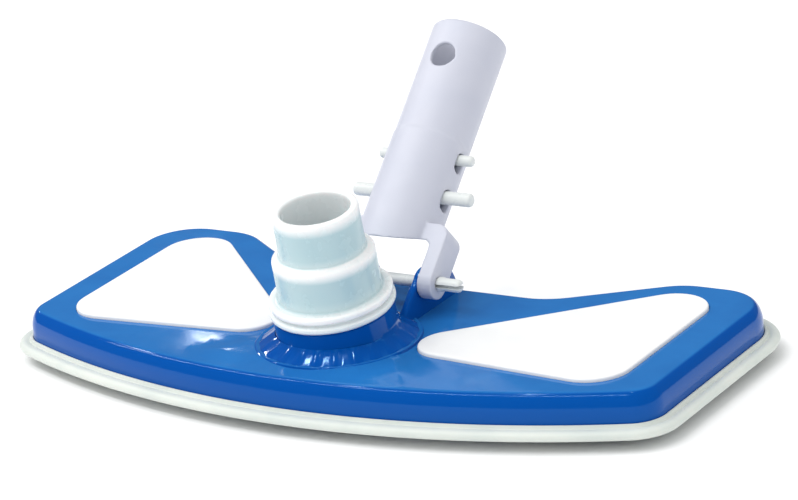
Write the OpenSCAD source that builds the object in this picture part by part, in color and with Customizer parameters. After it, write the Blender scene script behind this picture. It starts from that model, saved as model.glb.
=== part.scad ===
// Manual pool vacuum head: a weighted plastic shell with a swivelling hose cuff,
// a pivoting pole handle and brush strips underneath. Millimetres, +Z up, +Y to the rear.

/* [Shell] */
// Half the width of the shell, without the bumper
half_width = 135; // [130:1:150]
// Depth of the shell in front of the neck
front_reach = 41.5; // [40:0.5:44]
// How far the two rear lobes reach behind the neck
lobe_reach = 90; // [88:1:96]
// How far the middle of the rear edge reaches behind the neck
valley_reach = 60.5; // [58:0.5:62]
// Radius of the long front curve
front_radius = 315; // [300:5:330]
// Height of the flat top above the floor
top_z = 20.3; // [20.2:0.1:22]
// Thickness of the shell's walls and top
wall = 2.4; // [2:0.1:2.6]

/* [Bumper] */
// How far the bumper stands out from the shell
bumper_out = 5.8; // [5:0.1:6.6]
// Height of the bumper's underside above the floor
bumper_z = 4.1; // [3.7:0.1:4.3]
// Height of the thin lip that closes on the shell's wall
lip_z = 9; // [8.8:0.1:9.4]

/* [Weights] */
// Thickness of each steel weight
weight_h = 6; // [4:0.5:6]
// How far each white cover stands above the shell's top
cover_rise = 1; // [0.6:0.1:1.4]

/* [Brushes] */
// Width of a brush strip's backing
strip_w = 7; // [6.5:0.1:8]
// Thickness of a brush strip's backing
strip_h = 3; // [2.6:0.1:3]
// Width of the bristle field on a strip
bristle_w = 5; // [4:0.1:5.4]

/* [Hose cuff] */
// Outer diameter of the small step, for a 1-1/4 inch hose
small_od = 32; // [31:0.1:32.4]
// Outer diameter of the large step, for a 1-1/2 inch hose
large_od = 38.1; // [37.8:0.1:38.6]
// Diameter of the bore through the cuff
cuff_bore = 26; // [24:0.5:27]
// Forward tilt of the neck, in degrees
neck_tilt = 7.4; // [0:0.1:8]

/* [Handle] */
// Outer diameter of the tube where the pole slides on
tube_od = 29.4; // [29.2:0.1:29.5]
// Length from the axle to the tube's mouth
handle_len = 103; // [102:0.5:106]
// Lean of the stored handle behind the vertical, in degrees
lean = 48; // [44:1:52]
// Diameter of the hole across the tube near its mouth
cross_hole = 10; // [8:0.5:10]
// Diameter of the axle pin
axle_d = 4.4; // [4:0.1:4.6]

/* [Hidden] */
$fn = 96;
step = 6;

// Colours
shell_blue = [0.12, 0.38, 0.74];
soft_white = [0.93, 0.93, 0.90];
cover_white = [0.96, 0.96, 0.96];
steel_grey = [0.55, 0.56, 0.58];
cuff_white = [0.82, 0.90, 0.90];
handle_grey = [0.80, 0.81, 0.87];
clip_white = [0.93, 0.94, 0.93];
bristle_blue = [0.20, 0.45, 0.80];

// Shell outline. Each arc is [centre, signed radius, first and last direction of the outward
// normal]; a concave arc has a negative radius, so growing the outline works on both kinds.
front_r = 13;
rear_r = 21;
lobe_r = 25;
hollow_r = 24;
lobe_x = half_width - 32;
hollow_x = half_width - 89.5;
front_c = [0, front_radius - front_reach];
corner_c = [half_width - front_r,
    front_c[1] - sqrt(pow(front_radius - front_r, 2) - pow(half_width - front_r, 2))];
corner_n = atan2(corner_c[1] - front_c[1], corner_c[0]);
lobe_c = [lobe_x, lobe_reach - lobe_r];
hollow_c = [hollow_x, valley_reach + hollow_r];
between = hollow_c - lobe_c;
slope_n = atan2(between[1], between[0]) - acos((lobe_r + hollow_r) / norm(between));
shell_arcs = [
    [front_c, front_radius, -90, corner_n],
    [corner_c, front_r, corner_n, 0],
    [[half_width - rear_r, lobe_reach - rear_r], rear_r, 0, 90],
    [lobe_c, lobe_r, 90, slope_n],
    [hollow_c, -hollow_r, slope_n, 90]];

function arc(a, grow, n) = [for (i = [0 : n]) let (d = a[2] + (a[3] - a[2]) * i / n)
    a[0] + (a[1] + grow) * [cos(d), sin(d)]];
function half_outline(grow) = [for (a = shell_arcs) each arc(a, grow, step)];
function mirrored(points) = [for (i = [len(points) - 1 : -1 : 0]) [-points[i][0], points[i][1]]];
function outline(grow) = concat(half_outline(grow), mirrored(half_outline(grow)));

// Weight cover: a triangle with rounded corners
cover_side = half_width - 17;
cover_corners = [[15.9, -3.7], [cover_side, -11.8], [cover_side, 94.3]];
cover_radii = [12, 15, 14];
function edge_normal(i) = let (d = cover_corners[(i + 1) % 3] - cover_corners[i])
    [d[1], -d[0]] / norm(d);
function heading(v) = atan2(v[1], v[0]);
function cover_arc(i) = let (
    before = edge_normal((i + 2) % 3),
    after = edge_normal(i),
    r = cover_radii[i],
    c = cover_corners[i] - r * (before + after) / (1 + before * after),
    first = heading(before),
    turn = (heading(after) - first + 360) % 360) [c, r, first, first + turn];
function cover_outline(grow) = [for (i = [0 : 2]) each arc(cover_arc(i), grow, step)];

// Heights in the shell and the pockets
skirt_z = bumper_z + 1.2;
ceiling_z = top_z - wall;
shoulder_z = ceiling_z - 2.5;
strip_z = 7.2;
pocket_floor = 10.2;
cover_under = top_z - 2.1;
ledge = 4;
pocket_wall = 2.2;
fit_gap = 0.2;
tray_gap = 0.1;
tray_flange = 2.2;
tray_flange_h = 2;

// Brush strips on one wing: front follows the front curve, side and rear are straight
front_strip_r = front_radius - 12;
front_strip_a = [3.2, 17];
side_strip = [[cover_side - 8, 2], [cover_side - 8, 58]];
rear_strip = [[51, 19], [92, 58]];
function front_strip_end(e) = let (a = -90 + front_strip_a[e]) front_c
    + front_strip_r * [cos(a), sin(a)];
strip_foot = strip_z - strip_h;
rib_w = 3;
boss_w = 6.8;
screw_r = 1.3;
screw_head_r = 2.6;
screw_head_h = 1.3;
screw_depth = 2.8;
screw_in = 4;
bristle_in = 8;
bristle_top = strip_z - 1.6;

// Neck and cuff, measured along the swivel axis from the shell's top
neck_y = -0.2;
neck_r = 22.4;
neck_top = 13.2;
neck_bore = 14.5;
cone_r = 29.6;
neck_foot_r = 27.6;
cone_h = 4;
ring_gap = 0.4;
spigot_fit = 0.06;
ring_bore = 15.9;
spigot_r = ring_bore - spigot_fit;
spigot_top = 21.1;
rim_r = 17;
ring_foot = neck_top + ring_gap;
ring_top = 17.4;
cuff_inner = 17.3;
cuff_ceiling = 23.5;
flange_r = 22.9;
flange_top = 19.6;
large_top = 33.6;
small_foot = 36.2;
small_top = 52.6;
cuff_top = 53.4;

// Handle, measured from the axle along the tube
axle_y = 32.8;
axle_z = top_z + 11.6;
tube_r = tube_od / 2;
tube_grow = 0.3;
pole_stop = 56;
tube_foot = 17.4;
foot_start = 8;
foot_slope = 28.5;
bore_r = 12;
mouth_bore_r = 12.6;
mouth_bore_foot = handle_len - 19;
hole_s = handle_len - 15.6;
leg_in = 18;
leg_out = 24;
leg_half = 6;
bridge_top = 21.5;
axle_r = axle_d / 2;
axle_fit = 0.05;
ear_out = leg_in - 0.3;
ear_in = ear_out - 2.8;
corner_r = 3;
shoulder_r = 5;
mouth_chamfer = 0.8;
// Ear outline seen from the side, as [y, z]
ear_profile = [[19.2, top_z], [19.2, top_z + 4.9], [21.2, top_z + 6.6], [23.6, axle_z - 2.8],
    [26.6, axle_z - 0.2], [29.2, axle_z + 1.6], [30.9, axle_z + 3.6], [34, axle_z + 4.8],
    [40, axle_z + 4.6], [46, axle_z + 3], [51.5, axle_z - 0.6], [54.4, axle_z - 5],
    [55.8, axle_z - 9], [56.2, top_z]];

// Axle pin: head on the left, split tip on the right
pin_head_r = axle_r + 1.8;
pin_gap = 0.4;
pin_head_h = 2.2;
tip_r = axle_r + 0.5;
tip_end_r = axle_r + 0.3;
tip_collar = 1.8;
tip_len = 8.9;
split = 1.4;

// Spring clip
clip_s = 76;
clip_x = 3.2;
clip_t = 1.8;
clip_w = 8;
splay = 8;
finger_s = 35;
lock_s = 51;
finger_r = 2.6;
lock_r = 2.1;
finger_tip = 25.5;
lock_tip = 20.2;
slot_gap = 0.4;
slot_drop = 2.9;

// The frame's origin is under the middle of the box that holds the whole head
front_y = -front_reach - bumper_out;
rear_y = axle_y + handle_len * sin(lean) + (tube_r - 0.8) * cos(lean);
frame_y = (front_y + rear_y) / 2;

module placed() {
    translate([0, -frame_y, 0]) children();
}

module slab(z0, z1) {
    translate([0, 0, z0]) linear_extrude(z1 - z0) children();
}

module on_neck() {
    translate([0, neck_y, top_z]) rotate([neck_tilt, 0, 0]) children();
}

module on_handle() {
    translate([0, axle_y, axle_z]) rotate([-lean, 0, 0]) children();
}

module across(r, x0, x1) {
    translate([x0, 0, 0]) rotate([0, 90, 0]) cylinder(r = r, h = x1 - x0);
}

module both_sides() {
    children();
    mirror([1, 0, 0]) children();
}

module side(left) {
    mirror([left ? 1 : 0, 0, 0]) children();
}

// The plate's rounded edge, in steps of [depth below the top, inset]
edge_steps = [[wall, 0.8], [1.6, 1.5], [0.6, 2.4], [0, 3.6]];
module body_shell() color(shell_blue) placed() difference() {
    for (i = [1 : 3]) slab(top_z - edge_steps[i - 1][0], top_z - edge_steps[i][0])
        polygon(outline(-edge_steps[i][1]));
    both_sides() slab(ceiling_z - 1, top_z + 1) polygon(cover_outline(fit_gap));
    slab(ceiling_z - 1, top_z + 1) circle(r = neck_foot_r + tray_gap);
}

module shell_skirt() color(shell_blue) placed() difference() {
    union() {
        slab(skirt_z, shoulder_z) polygon(outline(0));
        slab(skirt_z, ceiling_z) polygon(outline(-edge_steps[0][1]));
    }
    slab(skirt_z - 1, ceiling_z + 1) polygon(outline(-wall));
}

module neck_cone() {
    translate([0, 0, top_z]) cylinder(r1 = cone_r, r2 = neck_r + 0.4, h = cone_h);
}

module shell_neck() color(shell_blue) placed() difference() {
    union() {
        slab(ceiling_z, top_z) circle(r = neck_foot_r);
        neck_cone();
        on_neck() translate([0, 0, 1]) cylinder(r = neck_r, h = neck_top - 1);
        on_neck() translate([0, 0, neck_top - 1]) cylinder(r = spigot_r, h = spigot_top - neck_top + 1);
        on_neck() translate([0, 0, ring_top + ring_gap]) cylinder(r = rim_r, h = 2);
    }
    on_neck() translate([0, 0, -20]) cylinder(r = neck_bore, h = 60);
}

module axle_ear(left) color(shell_blue) placed() side(left) difference() {
    translate([ear_in, 0, 0]) rotate([90, 0, 90]) linear_extrude(ear_out - ear_in)
        polygon(ear_profile);
    neck_cone();
    translate([0, axle_y, axle_z]) across(axle_r + axle_fit, 0, leg_out);
}

// The weight's tray hangs on the plate by a flange, with the strips' screws in its floor
module weight_tray(left) color(shell_blue) placed() side(left) difference() {
    union() {
        slab(strip_z, ceiling_z) polygon(cover_outline(pocket_wall - ledge));
        slab(ceiling_z - tray_flange_h, ceiling_z) polygon(cover_outline(tray_flange));
        slab(ceiling_z - 0.1, cover_under) polygon(cover_outline(fit_gap - tray_gap));
    }
    slab(pocket_floor, top_z) polygon(cover_outline(-ledge));
    screw_holes();
}

module strip_rib(left) color(shell_blue) placed() side(left) difference() {
    slab(strip_z, ceiling_z) {
        intersection() {
            translate(front_c) difference() {
                circle(r = front_strip_r + rib_w / 2, $fn = 240);
                circle(r = front_strip_r - rib_w / 2, $fn = 240);
            }
            translate([front_strip_end(0)[0], -front_reach])
                square([front_strip_end(1)[0] - front_strip_end(0)[0], front_reach]);
        }
        for (e = [0, 1]) translate(front_strip_end(e)) circle(d = boss_w);
    }
    screw_holes();
}

// A thin lip against the wall, a slope and a fat outer bead; the base wraps under the skirt
module bumper() color(soft_white) placed() difference() {
    union() {
        slab(bumper_z, lip_z) polygon(outline(1.1));
        slab(bumper_z, lip_z - 1.3) polygon(outline(bumper_out - 1.6));
        slab(bumper_z + 0.5, lip_z - 1.8) polygon(outline(bumper_out - 0.7));
        slab(bumper_z + 1.3, lip_z - 2.6) polygon(outline(bumper_out));
    }
    slab(bumper_z - 1, lip_z + 1) polygon(outline(-wall - 1.6));
    slab(skirt_z, lip_z + 1) polygon(outline(0));
}

module weight_cover(left) color(cover_white) placed() side(left) {
    slab(cover_under, top_z + cover_rise) polygon(cover_outline(0));
    slab(cover_under - 1.4, cover_under) difference() {
        polygon(cover_outline(-ledge - fit_gap));
        polygon(cover_outline(-ledge - 1.6));
    }
}

module weight(left) color(steel_grey) placed() side(left) {
    slab(pocket_floor, pocket_floor + weight_h) polygon(cover_outline(-ledge - 0.6));
}

// A bar along one strip, shortened at both ends and of a given width
module straight_bar(ends, shorten, w, z0, z1) {
    run = ends[1] - ends[0];
    translate([ends[0][0], ends[0][1], z0]) rotate([0, 0, heading(run)])
        translate([shorten, -w / 2, 0]) cube([norm(run) - 2 * shorten, w, z1 - z0]);
}

module curved_bar(shorten, w, z0, z1) {
    cut = shorten / front_strip_r * 180 / PI;
    translate([front_c[0], front_c[1], z0])
        rotate([0, 0, -90 + front_strip_a[0] + cut])
        rotate_extrude(angle = front_strip_a[1] - front_strip_a[0] - 2 * cut, $fn = 240)
        translate([front_strip_r - w / 2, 0]) square([w, z1 - z0]);
}

module bar(kind, shorten, w, z0, z1) {
    if (kind == "front") curved_bar(shorten, w, z0, z1);
    if (kind == "side") straight_bar(side_strip, shorten, w, z0, z1);
    if (kind == "rear") straight_bar(rear_strip, shorten, w, z0, z1);
}

module screw_spots() {
    for (p = concat([front_strip_end(0), front_strip_end(1)], side_strip, rear_strip))
        translate([p[0], p[1], 0]) children();
}

module screw_holes() {
    screw_spots() translate([0, 0, strip_z - 1]) cylinder(r = screw_r, h = screw_depth + 1);
}

module brush_strip(kind, left) color(soft_white) placed() side(left) difference() {
    bar(kind, -screw_in, strip_w, strip_foot, strip_z);
    screw_spots() translate([0, 0, strip_foot - 1]) cylinder(r = screw_r, h = strip_h + 2);
    bar(kind, bristle_in - 0.2, bristle_w + 0.4, strip_foot - 1, bristle_top);
}

module bristles(kind, left) color(bristle_blue) placed() side(left)
    bar(kind, bristle_in, bristle_w, 0, bristle_top);

module brush_screws(left) color(steel_grey) placed() side(left) screw_spots() {
    translate([0, 0, strip_foot - screw_head_h]) cylinder(r = screw_head_r, h = screw_head_h);
    translate([0, 0, strip_foot - 0.1]) cylinder(r = screw_r, h = strip_h + screw_depth - 0.2);
}

module swivel_cuff() color(cuff_white) placed() on_neck() rotate_extrude() polygon([
    [cuff_inner, ring_top], [flange_r - 0.5, ring_top], [flange_r, ring_top + 0.6],
    [flange_r, flange_top - 0.6], [flange_r - 0.6, flange_top], [large_od / 2, flange_top],
    [large_od / 2, large_top], [small_od / 2 + 1.6, small_foot], [small_od / 2, small_foot],
    [small_od / 2, small_top], [small_od / 2 - 0.8, cuff_top], [cuff_bore / 2 + 0.8, cuff_top],
    [cuff_bore / 2, small_top], [cuff_bore / 2, cuff_ceiling], [cuff_inner, cuff_ceiling]]);

module swivel_retaining_ring() color(cuff_white) placed() on_neck() rotate_extrude() polygon([
    [ring_bore, ring_foot], [flange_r, ring_foot], [flange_r + 0.5, ring_foot + 0.6],
    [flange_r + 0.5, ring_foot + 1.8], [flange_r - 0.1, ring_foot + 2.4],
    [flange_r - 1.7, ring_foot + 2.4], [flange_r - 1.7, ring_top], [ring_bore, ring_top]]);

module swivel_washer() color(steel_grey) placed() on_neck() difference() {
    translate([0, 0, cuff_ceiling - 1.9]) cylinder(r = cuff_inner - 0.15, h = 1.9);
    translate([0, 0, cuff_ceiling - 3]) cylinder(r = neck_bore - 0.3, h = 4);
}

// A bridge across the tube's foot and a leg each side, with rounded shoulders and leg ends
module yoke() {
    intersection() {
        rotate([90, 0, 0]) translate([0, 0, -leg_half]) linear_extrude(2 * leg_half) {
            translate([-leg_out, -leg_half])
                square([2 * leg_out, bridge_top + leg_half - shoulder_r]);
            translate([shoulder_r - leg_out, bridge_top - shoulder_r - 1])
                square([2 * (leg_out - shoulder_r), shoulder_r + 1]);
            for (x = [-1, 1]) translate([x * (leg_out - shoulder_r), bridge_top - shoulder_r])
                circle(r = shoulder_r);
        }
        union() {
            across(leg_half, -leg_out - 1, leg_out + 1);
            translate([-leg_out - 1, -leg_half, 0])
                cube([2 * leg_out + 2, 2 * leg_half, bridge_top]);
        }
    }
}

// The space between the legs. Its roof rises to the back, so the handle folds down further.
module yoke_gap() {
    translate([0, 0, tube_foot]) rotate([foot_slope, 0, 0]) {
        translate([-leg_in, -30, -60]) cube([2 * leg_in, 60, 60 - corner_r]);
        translate([corner_r - leg_in, -30, -20]) cube([2 * (leg_in - corner_r), 60, 20]);
        for (x = [-1, 1]) translate([x * (leg_in - corner_r), 30, -corner_r])
            rotate([90, 0, 0]) cylinder(r = corner_r, h = 60);
    }
}

module clip_slot(s, r) {
    both_sides() {
        translate([0, 0, s]) across(r + slot_gap, 5, 20);
        translate([0, 0, s - slot_drop]) across(r + slot_gap, 5, 20);
        translate([5, -r - slot_gap, s - slot_drop]) cube([15, 2 * (r + slot_gap), slot_drop]);
    }
}

module handle() color(handle_grey) placed() on_handle() difference() {
    union() {
        translate([0, 0, bridge_top]) cylinder(r = tube_r + tube_grow, h = pole_stop - bridge_top);
        translate([0, 0, pole_stop])
            cylinder(r = tube_r, h = handle_len - pole_stop - mouth_chamfer);
        translate([0, 0, handle_len - mouth_chamfer])
            cylinder(r1 = tube_r, r2 = tube_r - mouth_chamfer, h = mouth_chamfer);
    }
    translate([0, 0, bridge_top - 1]) cylinder(r = bore_r, h = handle_len);
    translate([0, 0, mouth_bore_foot]) cylinder(r = mouth_bore_r, h = handle_len);
    translate([0, tube_od, hole_s]) rotate([90, 0, 0]) cylinder(d = cross_hole, h = 2 * tube_od);
    clip_slot(finger_s, finger_r);
    clip_slot(lock_s, lock_r);
    yoke_gap();
}

// The tube's lower end with the bridge and the two legs, cut off where the plain tube begins
module handle_yoke() color(handle_grey) placed() on_handle() difference() {
    union() {
        translate([0, 0, foot_start]) cylinder(r = tube_r + tube_grow, h = bridge_top - foot_start);
        yoke();
    }
    yoke_gap();
    translate([0, 0, foot_start - 1]) cylinder(r = bore_r, h = bridge_top);
    across(axle_r + axle_fit, -leg_out - 1, leg_out + 1);
}

module axle_pin() color(clip_white) placed() translate([0, axle_y, axle_z]) difference() {
    union() {
        across(axle_r, -leg_out - 1, leg_out + 2);
        across(pin_head_r, -leg_out - pin_gap - pin_head_h, -leg_out - pin_gap);
        across(tip_r, leg_out + pin_gap, leg_out + pin_gap + tip_collar);
        translate([leg_out + pin_gap + tip_collar, 0, 0]) rotate([0, 90, 0])
            cylinder(r1 = tip_r, r2 = tip_end_r, h = tip_len - pin_gap - tip_collar + 0.1);
        translate([leg_out + tip_len, 0, 0]) rotate([0, 90, 0])
            cylinder(r1 = tip_end_r, r2 = axle_r - 0.6, h = 1);
    }
    translate([leg_out - 3, -tip_r - 1, -split / 2]) cube([tip_len + 5, 2 * tip_r + 2, split]);
}

// Each leg of the clip hangs from the bend and spreads towards its free end
module clip_leg() {
    translate([clip_x, 0, clip_s]) rotate([0, -splay, 0])
        translate([-clip_t / 2, -clip_w / 2, finger_s - clip_s - 4])
        cube([clip_t, clip_w, clip_s - finger_s + 3.7]);
    clip_pin(finger_s, finger_r, finger_tip);
    clip_pin(lock_s, lock_r, lock_tip);
}

module clip_pin(s, r, tip) {
    start = clip_x + (clip_s - s) * tan(splay);
    translate([0, 0, s]) {
        across(r, start, tip - 1);
        translate([tip - 1.1, 0, 0]) rotate([0, 90, 0]) cylinder(r1 = r, r2 = r - 0.9, h = 1.1);
    }
}

module clip_bend() color(clip_white) placed() on_handle() difference() {
    union() {
        translate([0, clip_w / 2, clip_s]) rotate([90, 0, 0])
            cylinder(r = clip_x + clip_t / 2, h = clip_w);
        translate([-1.2, -bore_r + 0.2, clip_s + clip_x - clip_t / 2])
            cube([2.4, 2 * bore_r - 0.4, clip_t]);
    }
    translate([0, clip_w, clip_s]) rotate([90, 0, 0]) cylinder(r = clip_x - clip_t / 2, h = 2 * clip_w);
    translate([-10, -10, clip_s - 10]) cube([20, 20, 10]);
}

module left_clip_leg() color(clip_white) placed() on_handle() mirror([1, 0, 0]) clip_leg();
module right_clip_leg() color(clip_white) placed() on_handle() clip_leg();

body_shell();
shell_skirt();
shell_neck();
axle_ear(true);  // left_axle_ear
axle_ear(false);  // right_axle_ear
weight_tray(true);  // left_weight_tray
weight_tray(false);  // right_weight_tray
strip_rib(true);  // left_strip_rib
strip_rib(false);  // right_strip_rib
bumper();
weight_cover(true);  // left_weight_cover
weight_cover(false);  // right_weight_cover
weight(true);  // left_weight
weight(false);  // right_weight
brush_strip("front", true);  // left_front_brush_strip
brush_strip("side", true);  // left_side_brush_strip
brush_strip("rear", true);  // left_rear_brush_strip
brush_strip("front", false);  // right_front_brush_strip
brush_strip("side", false);  // right_side_brush_strip
brush_strip("rear", false);  // right_rear_brush_strip
bristles("front", true);  // left_front_bristles
bristles("side", true);  // left_side_bristles
bristles("rear", true);  // left_rear_bristles
bristles("front", false);  // right_front_bristles
bristles("side", false);  // right_side_bristles
bristles("rear", false);  // right_rear_bristles
brush_screws(true);  // left_brush_screws
brush_screws(false);  // right_brush_screws
swivel_cuff();
swivel_retaining_ring();
swivel_washer();
handle();
handle_yoke();
axle_pin();
clip_bend();
left_clip_leg();
right_clip_leg();
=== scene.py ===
"""Manual pool vacuum head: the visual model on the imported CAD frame.

Lengths in this file are millimetres in the part's own coordinates (neck near the origin,
bristle tips at z = 0); row() turns a point into the frame's metres.
"""

import math
import random

import bmesh
import bpy
from mathutils import Matrix, Vector
from mathutils.geometry import delaunay_2d_cdt


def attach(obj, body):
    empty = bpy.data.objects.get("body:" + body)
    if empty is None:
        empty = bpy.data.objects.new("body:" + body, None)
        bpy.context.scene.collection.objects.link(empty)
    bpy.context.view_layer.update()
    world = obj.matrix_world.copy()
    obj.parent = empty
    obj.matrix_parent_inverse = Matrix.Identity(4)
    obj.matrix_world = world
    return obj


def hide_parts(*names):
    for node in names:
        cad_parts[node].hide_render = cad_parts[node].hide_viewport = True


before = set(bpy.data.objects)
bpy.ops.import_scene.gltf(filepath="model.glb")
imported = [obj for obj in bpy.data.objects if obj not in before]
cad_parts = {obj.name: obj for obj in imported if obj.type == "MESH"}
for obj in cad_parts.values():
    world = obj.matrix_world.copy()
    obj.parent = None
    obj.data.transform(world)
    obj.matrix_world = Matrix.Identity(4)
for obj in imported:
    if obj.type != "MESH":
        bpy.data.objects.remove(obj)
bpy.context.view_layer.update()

MM = 0.001

# ---------------------------------------------------------------- sizes shared with the CAD
HALF_WIDTH = 135
FRONT_REACH = 41.5
LOBE_REACH = 90
VALLEY_REACH = 60.5
FRONT_RADIUS = 315
TOP_Z = 20.3
WALL = 2.4
BUMPER_OUT = 5.8
BUMPER_Z = 4.1
SKIRT_Z = 5.3
LIP_Z = 9.0
COVER_TOP = TOP_Z + 1
COVER_UNDER = TOP_Z - 2.1
POCKET_FLOOR = 10.2
LEDGE = 4
STRIP_Z = 7.2
STRIP_H = 3
STRIP_W = 7
BRISTLE_W = 5
BRISTLE_IN = 8
BRISTLE_TOP = 5.6
FRONT_STRIP_R = FRONT_RADIUS - 12
FRONT_STRIP_A = (3.2, 17.0)
NECK_Y = -0.2
NECK_TILT = math.radians(7.4)
NECK_R = 22.4
NECK_TOP = 13.2
NECK_BORE = 14.5
SPIGOT_R = 15.84
SPIGOT_TOP = 21.1
AXLE_Y = 32.8
AXLE_Z = TOP_Z + 11.6
LEAN = math.radians(48)
HANDLE_LEN = 103
TUBE_R = 14.7
AXLE_R = 2.2
LEG_OUT = 24
EAR_IN = 14.9
EAR_OUT = 17.7
FRONT_Y = -FRONT_REACH - BUMPER_OUT
REAR_Y = AXLE_Y + HANDLE_LEN * math.sin(LEAN) + (TUBE_R - 0.8) * math.cos(LEAN)
FRAME_Y = (FRONT_Y + REAR_Y) / 2
FRONT_C = Vector((0, FRONT_RADIUS - FRONT_REACH))  # centre of the front arc
COVER_SIDE = HALF_WIDTH - 17
SIDE_STRIP = ((COVER_SIDE - 8, 2), (COVER_SIDE - 8, 58))  # screws of the side strip
REAR_STRIP = ((51, 19), (92, 58))


def row(p):
    """A point in the part's millimetres as a point of the frame, in metres."""
    return Vector((p[0] * MM, (p[1] - FRAME_Y) * MM, p[2] * MM))


def on_neck(x, y, s):
    """A point beside the swivel axis, s along it from the shell's top."""
    c, n = math.cos(NECK_TILT), math.sin(NECK_TILT)
    return (x, NECK_Y + y * c - s * n, TOP_Z + y * n + s * c)


def on_handle(x, y, s):
    """A point beside the handle's axis, s along it from the axle; -y is the handle's front."""
    c, n = math.cos(LEAN), math.sin(LEAN)
    return (x, AXLE_Y + y * c + s * n, AXLE_Z - y * n + s * c)


def smooth(t):
    """0 below 0, 1 above 1 and a smooth rise between."""
    t = min(max(t, 0.0), 1.0)
    return t * t * (3 - 2 * t)


# ---------------------------------------------------------------- outlines
def shell_arcs():
    """(centre, signed radius, first and last direction of the outward normal, steps)."""
    front_r, rear_r, lobe_r, hollow_r = 13, 21, 25, 24
    run = FRONT_RADIUS - front_r
    corner_x = HALF_WIDTH - front_r
    corner_c = Vector((corner_x, FRONT_C.y - math.sqrt(run**2 - corner_x**2)))
    corner_n = math.degrees(math.atan2(corner_c.y - FRONT_C.y, corner_c.x))
    lobe_c = Vector((HALF_WIDTH - 32, LOBE_REACH - lobe_r))
    hollow_c = Vector((HALF_WIDTH - 89.5, VALLEY_REACH + hollow_r))
    between = hollow_c - lobe_c
    slope_n = math.degrees(
        math.atan2(between.y, between.x) - math.acos((lobe_r + hollow_r) / between.length)
    )
    rear_c = Vector((HALF_WIDTH - rear_r, LOBE_REACH - rear_r))
    return [
        (FRONT_C, FRONT_RADIUS, -90, corner_n, 30),
        (corner_c, front_r, corner_n, 0, 16),
        (rear_c, rear_r, 0, 90, 18),
        (lobe_c, lobe_r, 90, slope_n, 10),
        (hollow_c, -hollow_r, slope_n, 90, 10),
    ]


def polar(c, r, degrees):
    a = math.radians(degrees)
    return Vector((c.x + r * math.cos(a), c.y + r * math.sin(a)))


def arc_points(c, r, first, last, n, grow=0.0):
    for i in range(n + 1):
        d = math.radians(first + (last - first) * i / n)
        yield (c[0] + (r + grow) * math.cos(d), c[1] + (r + grow) * math.sin(d))


def outline(grow):
    """The shell's outline moved out by grow, anticlockwise from the middle of the front."""
    right = []
    for k, (c, r, first, last, n) in enumerate(shell_arcs()):
        points = list(arc_points(c, r, first, last, n, grow))
        right += points[1:] if k == 1 else points
    left = [(-x, y) for x, y in reversed(right[1:])]
    return right + left


COVER_CORNERS = [Vector((15.9, -3.7)), Vector((COVER_SIDE, -11.8)), Vector((COVER_SIDE, 94.3))]
COVER_RADII = [12, 15, 14]


def cover_outline(grow, sign=1, n=12):
    """The weight cover's rounded triangle, anticlockwise; sign is -1 on the left wing."""
    points = []
    for i in range(3):
        before_edge = COVER_CORNERS[i] - COVER_CORNERS[i - 1]
        after_edge = COVER_CORNERS[(i + 1) % 3] - COVER_CORNERS[i]
        before = Vector((before_edge.y, -before_edge.x)).normalized()
        after = Vector((after_edge.y, -after_edge.x)).normalized()
        r = COVER_RADII[i]
        c = COVER_CORNERS[i] - r * (before + after) / (1 + before.dot(after))
        first = math.degrees(math.atan2(before.y, before.x))
        turn = (math.degrees(math.atan2(after.y, after.x)) - first) % 360
        points += arc_points(c, r, first, first + turn, n, grow)
    return points if sign > 0 else [(-x, y) for x, y in reversed(points)]


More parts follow.
